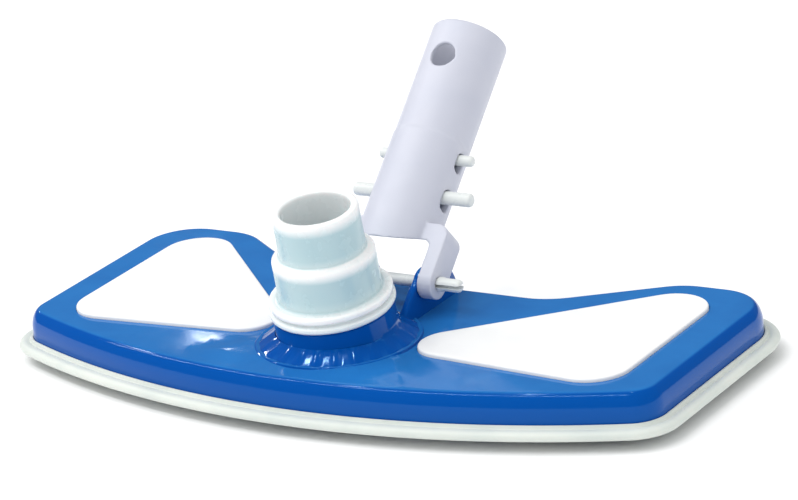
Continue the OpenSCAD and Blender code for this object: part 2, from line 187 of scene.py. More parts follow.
# ---------------------------------------------------------------- mesh building
class Shape:
    """Collects rings of points, in the part's millimetres, into one mesh."""

    def __init__(self):
        self.bm = bmesh.new()
        self.tint = self.bm.verts.layers.float.new("tint")

    def ring(self, points, tint=0.0):
        made = [self.bm.verts.new(row(p)) for p in points]
        for v in made:
            v[self.tint] = tint
        return made

    def bridge(self, a, b, closed=True):
        n = len(a)
        for i in range(n if closed else n - 1):
            j = (i + 1) % n
            self.bm.faces.new((a[i], a[j], b[j], b[i]))

    def loft(self, rings, closed=False):
        """Bridges the rings in turn; closed also joins the last to the first."""
        for a, b in zip(rings, rings[1:] + (rings[:1] if closed else [])):
            self.bridge(a, b)

    def cap(self, ring, flip=False):
        self.bm.faces.new(list(reversed(ring)) if flip else ring)

    def solid(self, rings):
        """Lofts the rings and closes both ends."""
        self.loft(rings)
        self.cap(rings[0], flip=True)
        self.cap(rings[-1])

    def level_rings(self, outline_at, rows):
        """One ring per (grow, z) row, round the outline that outline_at(grow) gives."""
        return [self.ring([(x, y, z) for x, y in outline_at(g)]) for g, z in rows]

    def lathe(self, place, profile, n=64, closed=True, tints=None):
        """Turns (radius, s) points about the axis of place(x, y, s)."""
        rings = []
        for k, (r, s) in enumerate(profile):
            angles = [2 * math.pi * i / n for i in range(n)]
            points = [place(r * math.cos(a), r * math.sin(a), s) for a in angles]
            rings.append(self.ring(points, tints[k] if tints else 0.0))
        if closed:
            self.loft(rings, closed=True)
        else:
            self.solid(rings)

    def sheet(self, outer, holes, height, pitch, flip=False):
        """Fills the space between an outer ring and holes with a grid of triangles."""
        rings = [outer] + holes
        flat, verts, edges = [], [], []
        for ring in rings:
            start = len(flat)
            flat += [Vector((v.co.x / MM, v.co.y / MM + FRAME_Y)) for v in ring]
            verts += ring
            edges += [(start + i, start + (i + 1) % len(ring)) for i in range(len(ring))]
        loops = [[Vector((v.co.x / MM, v.co.y / MM + FRAME_Y)) for v in r] for r in rings]
        lo = [min(p[i] for p in loops[0]) for i in range(2)]
        hi = [max(p[i] for p in loops[0]) for i in range(2)]
        x = lo[0] + pitch / 2
        while x < hi[0]:
            y = lo[1] + pitch / 2
            while y < hi[1]:
                p = Vector((x, y))
                if between_loops(p, loops) and min(edge_gap(p, q) for q in loops) > pitch / 2:
                    flat.append(p)
                    verts.append(None)
                y += pitch
            x += pitch
        out, _, faces, origin, _, _ = delaunay_2d_cdt(flat, edges, [], 0, 1e-5)
        at = []
        for p, source in zip(out, origin):
            v = verts[source[0]] if source else None
            if v is None:
                v = self.bm.verts.new(row((p.x, p.y, height(p.x, p.y))))
            at.append(v)
        for f in faces:
            middle = sum((out[i] for i in f), Vector((0, 0))) / len(f)
            if between_loops(middle, loops):
                corners = [at[i] for i in f]
                if len(set(corners)) == len(corners):
                    self.bm.faces.new(list(reversed(corners)) if flip else corners)

    def prism(self, place, outline_points, depth, lip=0.0):
        """A plate across place(u, v, w), from w = 0 to depth, with both edges rounded by lip."""
        rings = []
        for w, inset in lip_rows(depth, lip):
            points = inset_loop(outline_points, inset) if inset else outline_points
            rings.append(self.ring([place(p[0], p[1], w) for p in points]))
        self.solid(rings)

    def piece(self, name, body, nodes, finish, angle=35, weld=True):
        """Ends the shape as a named piece that rides on a body and stands for CAD nodes."""
        if weld:
            bmesh.ops.remove_doubles(self.bm, verts=self.bm.verts, dist=1e-7)
        bmesh.ops.recalc_face_normals(self.bm, faces=self.bm.faces)
        data = bpy.data.meshes.new(name)
        self.bm.to_mesh(data)
        self.bm.free()
        finish_piece(data, name, body, nodes, finish, angle)


def finish_piece(data, name, body, nodes, finish, angle=35):
    data.shade_smooth()
    data.set_sharp_from_angle(angle=math.radians(angle))
    obj = bpy.data.objects.new(name, data)
    bpy.context.scene.collection.objects.link(obj)
    material, slot = finish
    data.materials.append(material)
    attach(obj, body)
    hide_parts(*nodes)


def inside(p, loop):
    hit = False
    for a, b in zip(loop, loop[1:] + loop[:1]):
        if (a.y > p.y) != (b.y > p.y) and p.x < (b.x - a.x) * (p.y - a.y) / (b.y - a.y) + a.x:
            hit = not hit
    return hit


def between_loops(p, loops):
    return inside(p, loops[0]) and not any(inside(p, q) for q in loops[1:])


def edge_gap(p, loop):
    best = 1e9
    for a, b in zip(loop, loop[1:] + loop[:1]):
        ab = b - a
        t = min(max((p - a).dot(ab) / max(ab.length_squared, 1e-12), 0), 1)
        best = min(best, (p - a - ab * t).length)
    return best


def inset_loop(points, d):
    """A closed anticlockwise outline moved in by d, corner by corner."""
    out, n = [], len(points)
    for i in range(n):
        a, b, c = (Vector(points[(i + k) % n]) for k in (-1, 0, 1))
        u, w = (b - a).normalized(), (c - b).normalized()
        nu, nw = Vector((-u.y, u.x)), Vector((-w.y, w.x))
        m = nu + nw
        out.append(tuple(b + m * (d / max(1 + nu.dot(nw), 0.3))))
    return out


def lip_rows(depth, lip, n=3):
    """(height, inset) rows of a plate whose two edges are rounded with radius lip."""
    if not lip:
        return [(0, 0), (depth, 0)]
    turn = [math.pi / 2 * i / n for i in range(n + 1)]
    low = [(lip * (1 - math.sin(a)), lip * (1 - math.cos(a))) for a in reversed(turn)]
    high = [(depth - h, inset) for h, inset in reversed(low)]
    return low + high


def round_corner(profile, radii, n=5):
    """An open or closed (r, s) profile with its corners rounded; radii gives one per point."""
    out, count = [], len(profile)
    for i in range(count):
        r = radii[i]
        b = Vector(profile[i])
        if not r:
            out.append(tuple(b))
            continue
        a, c = Vector(profile[i - 1]), Vector(profile[(i + 1) % count])
        u, w = (a - b).normalized(), (c - b).normalized()
        half = math.acos(max(-1, min(1, u.dot(w)))) / 2
        back = min(r / math.tan(half), 0.49 * (a - b).length, 0.49 * (c - b).length)
        p, q = b + u * back, b + w * back
        for k in range(n + 1):
            t = k / n
            out.append(tuple((1 - t) ** 2 * p + 2 * t * (1 - t) * b + t * t * q))
    return out


# ---------------------------------------------------------------- materials
def new_material(name):
    material = bpy.data.materials.new(name)
    material.use_nodes = True
    tree = material.node_tree
    return material, tree, tree.nodes["Principled BSDF"]


def noise(tree, scale, detail=2.0, distortion=0.0, stretch=None):
    """A noise pattern in the object's own coordinates; scale is features per metre."""
    coords = tree.nodes.new("ShaderNodeTexCoord")
    source = coords.outputs["Object"]
    if stretch:
        mapping = tree.nodes.new("ShaderNodeMapping")
        mapping.inputs["Scale"].default_value = stretch
        tree.links.new(source, mapping.inputs["Vector"])
        source = mapping.outputs["Vector"]
    n = tree.nodes.new("ShaderNodeTexNoise")
    n.inputs["Scale"].default_value = scale
    n.inputs["Detail"].default_value = detail
    n.inputs["Distortion"].default_value = distortion
    tree.links.new(source, n.inputs["Vector"])
    return n.outputs["Fac"]


def spread(tree, value, low, high):
    """Maps the middle of a noise pattern to the range low to high."""
    node = tree.nodes.new("ShaderNodeMapRange")
    node.inputs["From Min"].default_value = 0.3
    node.inputs["From Max"].default_value = 0.7
    node.inputs["To Min"].default_value = low
    node.inputs["To Max"].default_value = high
    tree.links.new(value, node.inputs["Value"])
    return node.outputs["Result"]


def mix_colour(tree, factor, a, b):
    node = tree.nodes.new("ShaderNodeMix")
    node.data_type = "RGBA"
    tree.links.new(factor, node.inputs["Factor"])
    for socket, value in (("A", a), ("B", b)):
        target = [s for s in node.inputs if s.name == socket and s.type == "RGBA"][0]
        if isinstance(value, tuple):
            target.default_value = (*value, 1)
        else:
            tree.links.new(value, target)
    return [s for s in node.outputs if s.type == "RGBA"][0]


def bump(tree, height, distance, strength, under=None):
    node = tree.nodes.new("ShaderNodeBump")
    node.inputs["Distance"].default_value = distance * MM
    node.inputs["Strength"].default_value = strength
    tree.links.new(height, node.inputs["Height"])
    if under is not None:
        tree.links.new(under, node.inputs["Normal"])
    return node.outputs["Normal"]


# Mask of the cuff's whiter parts: thick milky plastic, and partly painted highlight on the
# rolled rims.
def milky_rim_and_highlight_factor(tree):
    node = tree.nodes.new("ShaderNodeAttribute")
    node.attribute_name = "tint"
    return node.outputs["Fac"]


def painted_wall_shade_factor(tree):
    """Mask of the painted wall shade: 1 on upright walls and steep faces, 0 on level faces."""
    split = tree.nodes.new("ShaderNodeSeparateXYZ")
    tree.links.new(tree.nodes.new("ShaderNodeTexCoord").outputs["Normal"], split.inputs[0])
    node = tree.nodes.new("ShaderNodeMapRange")
    for key, value in (("From Min", 0.98), ("From Max", 0.84), ("To Min", 0), ("To Max", 1)):
        node.inputs[key].default_value = value
    tree.links.new(split.outputs["Z"], node.inputs["Value"])
    return node.outputs["Result"]


def plastic(name, light, dark, rough, grain, waves, rim=None, side=None, **sockets):
    """Moulded plastic: colour mottle, a fine grain, slow waves and uneven gloss.

    rough is (low, high); grain and waves are (features per metre, depth in mm, strength).
    rim, if given, is the colour where the mesh's tint is 1, partly painted highlight; side is
    painted shade, the darker colour of walls and steep faces.
    """
    material, tree, shader = new_material(name)
    colour = mix_colour(tree, spread(tree, noise(tree, 45, 3, 0.6), 0, 1), light, dark)
    # painted shade: walls, the rounded edge and the cone take the darker side colour
    if side:
        colour = mix_colour(tree, painted_wall_shade_factor(tree), colour, side)
    # whiter rims: the thick milky plastic, and partly painted highlight
    if rim:
        colour = mix_colour(tree, milky_rim_and_highlight_factor(tree), colour, rim)
    tree.links.new(colour, shader.inputs["Base Color"])
    gloss = spread(tree, noise(tree, 160, 4), *rough)
    tree.links.new(gloss, shader.inputs["Roughness"])
    slow = bump(tree, noise(tree, waves[0], 1), waves[1], waves[2])
    fine = bump(tree, noise(tree, grain[0], 2), grain[1], grain[2], slow)
    tree.links.new(fine, shader.inputs["Normal"])
    for key, value in sockets.items():
        shader.inputs[key.replace("_", " ")].default_value = value
    return material


def brushed(name, light, dark, rough, stretch):
    """Rolled or brushed steel with fine streaks."""
    material, tree, shader = new_material(name)
    streaks = noise(tree, 900, 4, 0, stretch)
    stain = spread(tree, noise(tree, 120, 4, 1.0), 0, 1)
    tree.links.new(mix_colour(tree, stain, light, dark), shader.inputs["Base Color"])
    tree.links.new(spread(tree, streaks, *rough), shader.inputs["Roughness"])
    tree.links.new(bump(tree, streaks, 0.03, 0.35), shader.inputs["Normal"])
    shader.inputs["Metallic"].default_value = 1.0
    return material


def filament(name, light, dark):
    """Nylon bristle: the colour changes from filament to filament and along it."""
    material, tree, shader = new_material(name)
    change = spread(tree, noise(tree, 700, 2, 0, (1, 1, 0.2)), 0, 1)
    tree.links.new(mix_colour(tree, change, light, dark), shader.inputs["Base Color"])
    tree.links.new(spread(tree, noise(tree, 2500, 2), 0.3, 0.5), shader.inputs["Roughness"])
    ridges = noise(tree, 6000, 2, 0, (1, 1, 0.1))
    tree.links.new(bump(tree, ridges, 0.02, 0.4), shader.inputs["Normal"])
    shader.inputs["Subsurface Weight"].default_value = 0.1
    shader.inputs["Subsurface Radius"].default_value = (0.001, 0.001, 0.002)
    return material


SHELL = (
    plastic(
        "shell_blue",
        (0.020, 0.175, 0.500),
        (0.016, 0.150, 0.455),
        (0.05, 0.12),
        (900, 0.02, 0.10),
        (28, 0.5, 0.12),
        # painted shade: the darker blue of the walls, the rounded edge and the cone, where less
        # light falls
        side=(0.001, 0.075, 0.36),
        Specular_IOR_Level=0.4,
        Specular_Tint=(0.35, 0.7, 1.0, 1),
    ),
    "shell_plastic",
)
BUMPER = (
    plastic(
        "bumper_cream",
        (0.74, 0.77, 0.71),
        (0.64, 0.69, 0.65),
        (0.32, 0.48),
        (1500, 0.03, 0.20),
        (60, 0.2, 0.15),
        Subsurface_Weight=0.15,
        Subsurface_Radius=(0.004, 0.005, 0.005),
        Specular_IOR_Level=0.4,
    ),
    "bumper_vinyl",
)
COVER = (
    plastic(
        "cover_white",
        (0.93, 0.93, 0.92),
        (0.88, 0.88, 0.88),
        (0.35, 0.50),
        (1100, 0.05, 0.30),
        (40, 0.2, 0.10),
        Specular_IOR_Level=0.35,
    ),
    "cover_plastic",
)
CUFF = (
    plastic(
        "cuff_milky",
        (0.47, 0.63, 0.66),
        (0.44, 0.61, 0.65),
        (0.20, 0.32),
        (1200, 0.03, 0.15),
        (50, 0.3, 0.05),
        # white rims: thick milky plastic, and partly painted highlight on the rolled rims
        rim=(0.92, 0.93, 0.92),
        Subsurface_Weight=0.25,
        Subsurface_Radius=(0.006, 0.009, 0.009),
        Coat_Weight=0.1,
    ),
    "cuff_plastic",
)
HANDLE = (
    plastic(
        "handle_lavender",
        (0.600, 0.610, 0.690),
        (0.565, 0.580, 0.665),
        (0.30, 0.42),
        (1300, 0.05, 0.25),
        (45, 0.25, 0.12),
        Specular_IOR_Level=0.4,
    ),
    "handle_plastic",
)
CLIP = (
    plastic(
        "clip_nylon",
        (0.78, 0.80, 0.78),
        (0.72, 0.75, 0.74),
        (0.22, 0.34),
        (1600, 0.02, 0.15),
        (120, 0.1, 0.10),
        Subsurface_Weight=0.25,
        Subsurface_Radius=(0.003, 0.003, 0.003),
    ),
    "clip_plastic",
)
STRIP = (
    plastic(
        "strip_white",
        (0.78, 0.79, 0.79),
        (0.70, 0.72, 0.73),
        (0.35, 0.50),
        (1300, 0.04, 0.25),
        (80, 0.1, 0.10),
    ),
    "strip_plastic",
)
WASHER = (
    plastic(
        "washer_black",
        (0.030, 0.030, 0.032),
        (0.018, 0.018, 0.020),
        (0.50, 0.70),
        (1500, 0.05, 0.40),
        (200, 0.1, 0.20),
    ),
    "washer_rubber",
)
WEIGHT = (
    brushed("weight_steel", (0.42, 0.43, 0.45), (0.26, 0.25, 0.25), (0.35, 0.6), (1, 0.05, 1)),
    "weight_steel",
)
SCREW = (
    brushed("screw_steel", (0.62, 0.62, 0.63), (0.48, 0.48, 0.50), (0.2, 0.4), (1, 1, 0.2)),
    "screw_steel",
)
BRISTLE = (filament("bristle_blue", (0.05, 0.22, 0.60), (0.02, 0.11, 0.40)), "bristle_nylon")


# ---------------------------------------------------------------- the shell
CONE_R = 31.0
EDGE_W, EDGE_H = 4.0, 7.5
TOP_FLAT = TOP_Z - 0.4
CEILING = TOP_Z - WALL
NECK_STEPS = 120
NECK_ANGLES = [2 * math.pi * i / NECK_STEPS for i in range(NECK_STEPS)]
CONE_FACETS = 24
CONE_RIB = 0.35


def shell_top(x, y):
    """Height of the shell's top: flat, with a low hump in front of the neck.

    The hump ends at a crease on each side.
    """
    rim_gap = FRONT_RADIUS - math.hypot(x, y - FRONT_C.y)
    crease_x = 29 + 0.78 * max(-8 - y, 0)
    across = smooth((crease_x - abs(x)) / 2.6 + 1)
    return TOP_FLAT + 0.75 * across * smooth((-2 - y) / 10) * smooth((rim_gap - 6) / 9)


def shell_wall_rows():
    """(grow, z) rows from the skirt's inner edge, round the outside, to the top."""
    rows = [(-WALL, SKIRT_Z), (-0.4, SKIRT_Z), (0, SKIRT_Z + 0.4), (0, LIP_Z - 1)]
    high = TOP_FLAT - EDGE_H
    rows += [(0, LIP_Z + 1), (0, high)]
    for i in range(1, 15):
        a = math.pi / 2 * i / 14
        rows.append((-EDGE_W * (1 - math.cos(a)), high + EDGE_H * math.sin(a)))
    return rows + [(-EDGE_W - 1.5, TOP_FLAT)]


def shell_inner_rows():
    """(grow, z) rows of the wall's inside, above the skirt's inner edge."""
    fillet = 1.6
    rows = [(-WALL, 12), (-WALL, CEILING - fillet)]
    for i in range(1, 5):
        a = math.pi / 2 * i / 4
        rows.append((-WALL - fillet * (1 - math.cos(a)), CEILING - fillet * (1 - math.sin(a))))
    return rows


def cone_ring(shape, r, z, facet, rib=0.0):
    """A ring round the cone; facet is 1 on flat facets and rib lifts a narrow rib between."""
    per = NECK_STEPS // CONE_FACETS
    points = []
    for i, a in enumerate(NECK_ANGLES):
        off = (i % per) / per * 2 * math.pi / CONE_FACETS - math.pi / CONE_FACETS
        flat = r * math.cos(math.pi / CONE_FACETS) / math.cos(off)
        radius = r + (flat - r) * facet + (rib if i % per == 0 else 0)
        points.append((radius * math.cos(a), NECK_Y + radius * math.sin(a), z))
    return shape.ring(points)


def tilted_ring(shape, r, s):
    return shape.ring([on_neck(r * math.cos(a), r * math.sin(a), s) for a in NECK_ANGLES])


def bore_exit_ring(shape, z):
    """Where the tilted bore meets the level ceiling."""
    points = []
    for a in NECK_ANGLES:
        y = NECK_BORE * math.sin(a)
        s = (z - TOP_Z - y * math.sin(NECK_TILT)) / math.cos(NECK_TILT)
        points.append(on_neck(NECK_BORE * math.cos(a), y, s))
    return shape.ring(points)


def rib_outline(sign):
    """The front brush strip's rib: an arc with round ends, anticlockwise."""
    r, half, n = FRONT_STRIP_R, 3.4, 16
    first, last = (a - 90 for a in FRONT_STRIP_A)
    start, end = (polar(FRONT_C, r, a) for a in (first, last))
    points = list(arc_points(FRONT_C, r, first, last, n, half))
    points += list(arc_points(end, half, last, last + 180, 8))[1:-1]
    points += list(arc_points(FRONT_C, r, last, first, n, -half))
    points += list(arc_points(start, half, first + 180, first + 360, 8))[1:-1]
    return points if sign > 0 else [(-x, y) for x, y in reversed(points)]


EAR_PATH = [
    (17.0, TOP_Z - 1.2),
    (17.2, TOP_Z + 3.0),
    (20.2, TOP_Z + 5.8),
    (23.6, AXLE_Z - 2.8),
    (26.6, AXLE_Z - 0.2),
    (29.2, AXLE_Z + 1.6),
    (31.2, AXLE_Z + 3.6),
    (34.2, AXLE_Z + 4.7),
    (40.0, AXLE_Z + 4.5),
    (46.0, AXLE_Z + 2.9),
    (51.2, AXLE_Z - 0.6),
    (54.2, AXLE_Z - 5.0),
    (55.6, AXLE_Z - 9.0),
    (55.9, TOP_Z - 1.2),
]


def curve_through(points, n=6):
    """A smooth open curve through the points (Catmull-Rom)."""
    p = [Vector(q) for q in points]
    p = [2 * p[0] - p[1]] + p + [2 * p[-1] - p[-2]]
    out = []
    for a, b, c, d in zip(p, p[1:], p[2:], p[3:]):
        for t in (k / n for k in range(n)):
            square, cube = 2 * a - 5 * b + 4 * c - d, 3 * b - a - 3 * c + d
            out.append(tuple(0.5 * (2 * b + (c - a) * t + square * t * t + cube * t**3)))
    return out + [tuple(p[-2])]


def ear(shape, sign):
    def place(u, v, w):
        return (sign * (EAR_IN + w), u, v)

    shape.prism(place, list(reversed(curve_through(EAR_PATH))), EAR_OUT - EAR_IN, 0.7)


def screw_spots(sign):
    """Where the brush strips' screws are, on one wing."""
    spots = [polar(FRONT_C, FRONT_STRIP_R, degrees - 90) for degrees in FRONT_STRIP_A]
    return [(sign * x, y) for x, y in [*spots, *SIDE_STRIP, *REAR_STRIP]]


def wing_recesses(shape, sign):
    """One wing's seat for its cover, and the tray and rib that hang below it.

    Gives the seat's ring in the top, and the rings of the tray and the rib in the ceiling.
    """
    top = shape.ring([(x, y, shell_top(x, y)) for x, y in cover_outline(0.2, sign)])
    levels = [(0.2, COVER_UNDER), (-LEDGE, COVER_UNDER), (-LEDGE, POCKET_FLOOR)]
    under = [(-0.8, CEILING), (-1.8, CEILING - 1.0), (-1.8, STRIP_Z + 0.5), (-2.3, STRIP_Z)]
    seat = [top] + shape.level_rings(lambda g: cover_outline(g, sign), levels)
    tray = shape.level_rings(lambda g: cover_outline(g, sign), under)
    rib = shape.level_rings(lambda g: rib_outline(sign), [(0, CEILING), (0, STRIP_Z)])
    for rings in (seat, tray, rib):
        shape.loft(rings)
        shape.cap(rings[-1])
    return top, [tray[0], rib[0]]


def cone_and_neck(shape):
    """The cone, the neck and its spigot, turned down into the bore and out at the ceiling.

    Gives the ring in the top and the ring in the ceiling.
    """
    foot = [(CONE_R * math.cos(a), NECK_Y + CONE_R * math.sin(a)) for a in NECK_ANGLES]
    rings = [shape.ring([(x, y, shell_top(x, y)) for x, y in foot])]
    for r, rise, facet, rib in (
        (30.7, 0.55, 0, 0),
        (30.3, 0.72, 0, 0),
        (29.8, 0.62, 0, 0),
        (29.4, 0.5, 1, 0),
        (29.0, 0.7, 1, CONE_RIB),
        (24.2, 4.0, 1, CONE_RIB),
        (23.8, 4.3, 1, 0),
        (23.2, 4.6, 0, 0),
    ):
        rings.append(cone_ring(shape, r, TOP_Z + rise, facet, rib))
    for r, s in (
        (22.6, 5.6),
        (NECK_R, 6.6),
        (NECK_R, 12.6),
        (NECK_R - 0.6, NECK_TOP),
        (SPIGOT_R, NECK_TOP),
        (SPIGOT_R, 17.9),
        (17, 17.9),
        (17, 19.6),
        (16.2, 20.4),
        (SPIGOT_R, SPIGOT_TOP),
        (NECK_BORE + 0.3, SPIGOT_TOP),
        (NECK_BORE, SPIGOT_TOP - 0.3),
    ):
        rings.append(tilted_ring(shape, r, s))
    rings.append(bore_exit_ring(shape, CEILING))
    shape.loft(rings)
    return rings[0], rings[-1]


def build_shell():
    """The shell as one skin: wall, top, ceiling, trays, ribs, cone, neck and ears."""
    shape = Shape()
    outer = shape.level_rings(outline, shell_wall_rows())
    for v in outer[-1]:
        x, y = v.co.x / MM, v.co.y / MM + FRAME_Y
        v.co.z = shell_top(x, y) * MM
    inner = [outer[0]] + shape.level_rings(outline, shell_inner_rows())
    shape.loft(outer)
    shape.loft(inner)

    recesses, pockets = [], []
    for sign in (1, -1):
        recess, below = wing_recesses(shape, sign)
        recesses.append(recess)
        pockets += below
    foot, exit_ring = cone_and_neck(shape)
    shape.sheet(outer[-1], recesses + [foot], shell_top, 4.0)
    shape.sheet(inner[-1], pockets + [exit_ring], lambda x, y: CEILING, 9.0, flip=True)
    for sign in (1, -1):
        ear(shape, sign)
    nodes = ["body_shell", "shell_skirt", "shell_neck"]
    for side in ("left", "right"):
        nodes += [f"{side}_{kind}" for kind in ("axle_ear", "weight_tray", "strip_rib")]
    shape.piece("body_shell_skin", "head", nodes, SHELL, 32)


# ---------------------------------------------------------------- the bumper
def bumper_profile():
    """(grow, z) round the bumper's section: lip, slope, round bead, foot and flange."""
    rows = [(0.05, LIP_Z - 0.5), (0.25, LIP_Z - 0.08), (0.6, LIP_Z), (0.95, LIP_Z - 0.15)]
    rows += [(1.15, LIP_Z - 0.6), (1.35, LIP_Z - 1.05), (1.7, LIP_Z - 1.25), (2.2, LIP_Z - 1.1)]
    bead_x, bead_z, bead_w, bead_h = BUMPER_OUT - 2.6, BUMPER_Z + 2, 2.6, 2
    for i in range(15):
        a = math.radians(100 - i * 190 / 14)
        rows.append((bead_x + bead_w * math.cos(a), bead_z + bead_h * math.sin(a)))
    rows += [(-3.4, BUMPER_Z), (-4, BUMPER_Z + 0.4)]
    rows += [(-4, SKIRT_Z), (0.05, SKIRT_Z), (0.05, LIP_Z - 2)]
    return rows


def build_bumper():
    shape = Shape()
    shape.loft(shape.level_rings(outline, bumper_profile()), closed=True)
    shape.piece("bumper_bead", "head", ["bumper"], BUMPER, 40)


# ---------------------------------------------------------------- the weight covers
def build_cover(side, sign):
    """A plate with a rounded top edge and a level face."""
    shape = Shape()
    lip, face = 0.8, COVER_TOP - 0.02

    def edge(grow):
        return cover_outline(grow, sign, 16)

    rows = [(-1.0, COVER_UNDER), (0, COVER_UNDER), (0, COVER_TOP - lip)]
    for i in range(1, 5):
        a = math.pi / 2 * i / 4
        rows.append((-lip * (1 - math.cos(a)), COVER_TOP - lip * (1 - math.sin(a))))
    rings = shape.level_rings(edge, rows + [(-2.6, face)])
    shape.loft(rings)
    shape.sheet(rings[-1], [], lambda x, y: face, 7.0)
    shape.cap(rings[0])
    shape.piece(f"{side}_cover_plate", "head", [f"{side}_weight_cover"], COVER)


# ---------------------------------------------------------------- brushes
def strip_paths():
    """For each kind of strip, a path and its length between the screws.

    A path is a function from distance along it to (point, direction).
    """

    def front(d):
        a = math.radians(FRONT_STRIP_A[0] - 90) + d / FRONT_STRIP_R
        return FRONT_C + FRONT_STRIP_R * Vector((math.cos(a), math.sin(a))), a + math.pi / 2

    def straight(p, q):
        p, q = Vector(p), Vector(q)
        turn = math.atan2((q - p).y, (q - p).x)
        return lambda d: (p + (q - p).normalized() * d, turn), (q - p).length

    return {
        "front": (front, FRONT_STRIP_R * math.radians(FRONT_STRIP_A[1] - FRONT_STRIP_A[0])),
        "side": straight(*SIDE_STRIP),
        "rear": straight(*REAR_STRIP),
    }


def along(path, d, off):
    p, turn = path(d)
    return (p.x - off * math.sin(turn), p.y + off * math.cos(turn))


QUARTER = [math.pi / 2 * i / 4 for i in range(4)]


def bar(path, first, last, half, round_r, n=14):
    """An anticlockwise outline of a bar with round corners, from first to last on the path."""
    run = last - first - 2 * round_r
    bends = [(round_r * (1 - math.cos(a)), round_r * (1 - math.sin(a))) for a in QUARTER]
    points = [(first + round_r + run * i / n, -half) for i in range(n + 1)]
    points += [(last - v, -half + u) for u, v in bends[1:]]
    points += [(last - u, half - v) for u, v in bends]
    points += [(first + last - d, -off) for d, off in points]
    return [along(path, d, off) for d, off in points]


def build_strip(side, sign, kind, path, length):
    """The backing: a bar with rounded ends and a raised kerb round the bristle field."""
    foot = STRIP_Z - STRIP_H
    kerb_gap = BRISTLE_IN - 1.2
    shape = Shape()

    def backing(u, v, w):
        return (sign * u, v, STRIP_Z - w)

    def kerb(u, v, w):
        return (sign * u, v, foot + 0.2 - w)

    shape.prism(backing, bar(path, -4, length + 4, STRIP_W / 2, 2.4), STRIP_H, 0.4)
    field = bar(path, kerb_gap, length - kerb_gap, BRISTLE_W / 2 + 0.7, 1.0)
    shape.prism(kerb, field, 0.7, 0.25)
    node = f"{side}_{kind}_brush_strip"
    shape.piece(f"{side}_{kind}_strip_bar", "head", [node], STRIP)


def build_bristles(side, sign, kind, path, length, rng):
    """Tufts of nylon filaments, two rows wide, from the strip to the floor."""
    shape = Shape()
    first, last = BRISTLE_IN + 1.3, length - BRISTLE_IN - 1.3
    count = int((last - first) / 2.6)
    for i in range(count + 1):
        for off in (-1.3, 1.3):
            d = first + (last - first) * i / count
            tuft(shape, sign, path, d, off, rng)
    node = f"{side}_{kind}_bristles"
    shape.piece(f"{side}_{kind}_tufts", "head", [node], BRISTLE, 60, weld=False)


def tuft(shape, sign, path, d, off, rng):
    """A bundle of thin filaments that spreads a little towards the floor."""
    for k in range(9):
        ring_r = 0 if k == 0 else 0.72
        a = k * math.pi / 4 + rng.uniform(-0.2, 0.2)
        u, v = ring_r * math.cos(a), ring_r * math.sin(a)
        fan = rng.uniform(1.15, 1.35)
        tip = rng.uniform(0.0, 0.35)
        rings = []
        for t, r in ((0, 0.3), (0.55, 0.3), (0.92, 0.27), (1, 0.16)):
            z = BRISTLE_TOP - (BRISTLE_TOP - tip) * t
            du, dv = u * (1 + (fan - 1) * t), v * (1 + (fan - 1) * t)
            points = []
            for i in range(5):
                b = 2 * math.pi * i / 5
                x, y = along(path, d + du + r * math.cos(b), off + dv + r * math.sin(b))
                points.append((sign * x, y, z))
            rings.append(shape.ring(points))
        shape.solid(rings)


def build_screws(side, sign):
    """Pan-head screws, heads down, with a cross recess."""
    shape = Shape()
    foot = STRIP_Z - STRIP_H
    for x, y in screw_spots(sign):
        turn = 0.4 + 0.13 * x

        def place(u, v, s, x=x, y=y):
            return (x + u, y + v, foot - s)

        arm, arm_w, n = 1.5, 0.32, 32
        rings = []
        for r, h in ((1.3, -4.6), (1.3, -0.02), (2.5, 0), (2.6, 0.3), (2.5, 0.75), (2.0, 1.15)):
            points = [
                place(r * math.cos(2 * math.pi * i / n), r * math.sin(2 * math.pi * i / n), h)
                for i in range(n)
            ]
            rings.append(shape.ring(points))
        cross = []
        for i in range(n):
            a = 2 * math.pi * i / n
            quarter = (a + math.pi / 4) % (math.pi / 2) - math.pi / 4
            reach = min(arm, arm_w / max(abs(math.sin(quarter)), 1e-3))
            reach = max(reach, arm_w * 1.41)
            cross.append((reach * math.cos(a + turn), reach * math.sin(a + turn)))
        shift = round(turn / (2 * math.pi / n))
        cross = cross[-shift:] + cross[:-shift] if shift else cross
        rings.append(shape.ring([place(u, v, 1.25) for u, v in cross]))
        rings.append(shape.ring([place(0.8 * u, 0.8 * v, 0.6) for u, v in cross]))
        shape.solid(rings)
    shape.piece(f"{side}_screws", "head", [f"{side}_brush_screws"], SCREW, weld=False)


# ---------------------------------------------------------------- the swivelling cuff
def build_cuff():
    """Stepped cuff: white rolled rims, partly painted highlight, and a thinner milky wall
    between them.

    Each corner is ((radius, place on the swivel axis), rounding, tint), and tint 1 is white.
    """
    corners = [
        ((17.3, 17.4), 0.0, 1.0),
        ((22.9, 17.4), 0.6, 1.0),
        ((22.9, 19.6), 1.0, 1.0),
        ((20.4, 19.75), 0.5, 0.7),
        ((19.25, 20.4), 0.6, 0.15),
        ((19.05, 24.0), 0.0, 0.0),
        ((19.05, 31.6), 0.0, 0.0),
        ((19.1, 33.2), 0.3, 0.6),
        ((19.05, 35.4), 1.4, 1.0),
        ((16.9, 36.3), 0.5, 1.0),
        ((16.1, 36.9), 0.4, 0.25),
        ((16.0, 39.5), 0.0, 0.0),
        ((15.9, 48.6), 0.0, 0.0),
        ((15.95, 50.4), 0.3, 0.6),
        ((16.0, 53.4), 1.5, 1.0),
        ((13.0, 53.4), 1.4, 1.0),
        ((13.0, 51.0), 0.0, 0.8),
        ((13.0, 23.5), 0.0, 0.7),
        ((17.3, 23.5), 0.3, 1.0),
    ]
    profile, tints = [], []
    points = [c[0] for c in corners]
    for i, (_, r, tint) in enumerate(corners):
        part = round_corner(points, [r if k == i else 0 for k in range(len(points))])
        n = 6 if r else 1
        part = part[i : i + n]
        profile += part
        tints += [tint] * len(part)
    shape = Shape()
    shape.lathe(on_neck, profile, 96, True, tints)
    shape.piece("hose_cuff", "swivel", ["swivel_cuff"], CUFF, 40)


